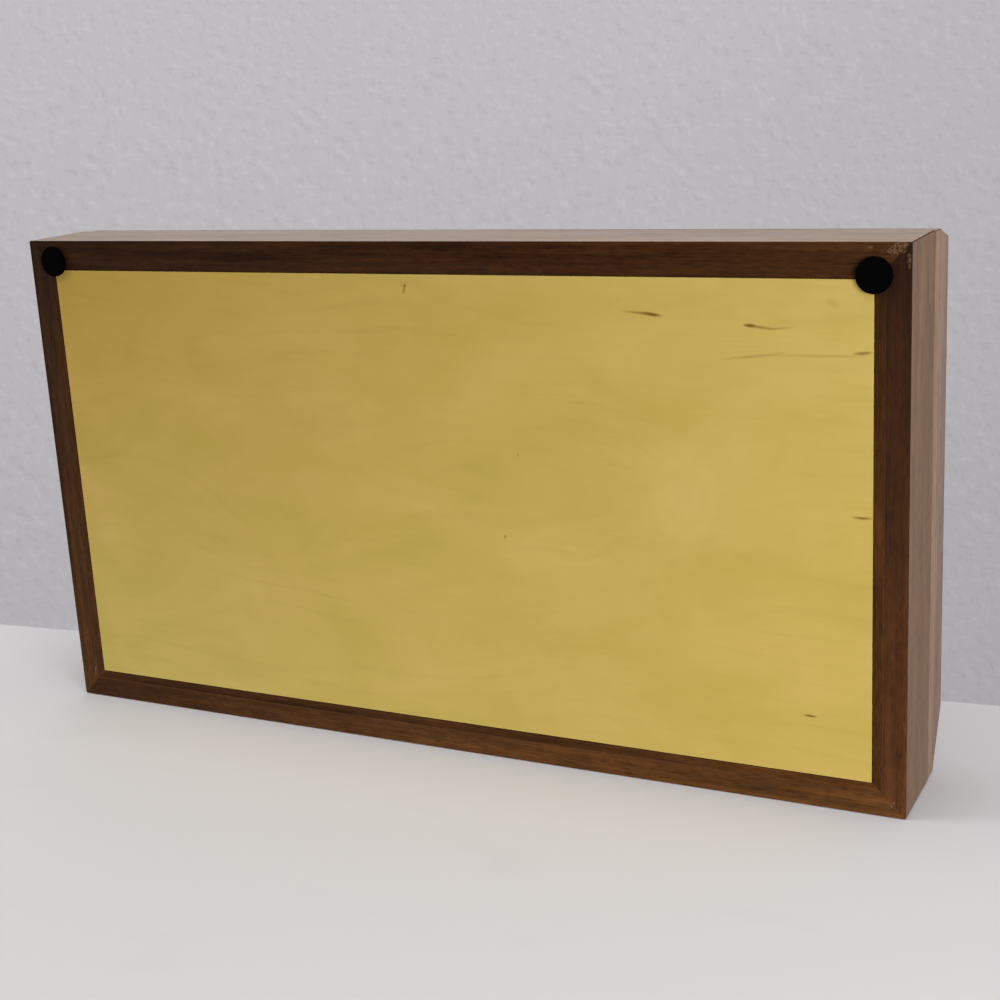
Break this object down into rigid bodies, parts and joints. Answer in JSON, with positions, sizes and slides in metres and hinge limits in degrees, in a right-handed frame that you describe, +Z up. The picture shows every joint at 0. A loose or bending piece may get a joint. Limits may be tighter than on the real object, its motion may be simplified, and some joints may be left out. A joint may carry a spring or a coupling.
{
  "type": "jewellery box",
  "caption": "Slim rectangular wooden jewellery box: hinged lid with bevelled edges, lined compartments, ring rolls, flush plywood bottom and round felt feet.",
  "frame": {"origin": "middle of the footprint, on the plane of the feet", "axes": "+X along the box, towards its right end; +Y towards the back, where the lid is hinged; +Z up, through the lid"},
  "size_m": [0.33, 0.1814, 0.0507],
  "materials": {
    "walnut": "oiled walnut",
    "sapwood": "oiled, paler wood",
    "birch": "clear satin on birch plywood",
    "felt": "black felt",
    "velvet": "charcoal velvet",
    "brass": "plain turned brass"
  },
  "bodies": {
    "case": {"front_wall": "walnut", "right_wall": "walnut", "back_wall": "walnut", "left_wall": "walnut", "front_liner": "walnut", "right_liner": "walnut", "back_liner": "walnut", "left_liner": "walnut", "long_divider": "walnut", "cross_divider_1": "walnut", "cross_divider_2": "walnut", "cross_divider_3": "walnut", "bottom_panel": "birch", "foot_left": "felt", "foot_right": "felt", "floor_lining": "velvet", "ring_roll_1": "velvet", "ring_roll_2": "velvet", "ring_roll_3": "velvet", "ring_roll_4": "velvet", "ring_roll_5": "velvet", "ring_roll_6": "velvet", "case_barrel_left": "brass", "case_barrel_right": "brass"},
    "lid": {"lid_rim_front": "sapwood", "lid_rim_right": "sapwood", "lid_rim_back": "sapwood", "lid_rim_left": "sapwood", "lid_rail_front": "walnut", "lid_stile_right": "walnut", "lid_rail_back": "walnut", "lid_stile_left": "walnut", "lid_panel": "walnut", "lid_lining": "velvet", "lid_barrel_left": "brass", "lid_barrel_right": "brass"},
    "link_left": {"hinge_link_left": "brass"},
    "link_right": {"hinge_link_right": "brass"}
  },
  "joints": [
    {"name": "lid_hinge", "type": "hinge", "parent": "case", "child": "lid", "pos_m": [0, 0.0907, 0.03225], "axis": [-1, 0, 0], "range_deg": [0, 100]},
    {"name": "link_left_turn", "type": "hinge", "parent": "case", "child": "link_left", "pos_m": [-0.105, 0.0907, 0.03225], "axis": [-1, 0, 0], "range_deg": [0, 50]},
    {"name": "link_right_turn", "type": "hinge", "parent": "case", "child": "link_right", "pos_m": [0.105, 0.0907, 0.03225], "axis": [-1, 0, 0], "range_deg": [0, 50]}
  ],
  "couplings": [
    {"joint": "link_left_turn", "follows": "lid_hinge", "ratio": 0.5},
    {"joint": "link_right_turn", "follows": "lid_hinge", "ratio": 0.5}
  ]
}
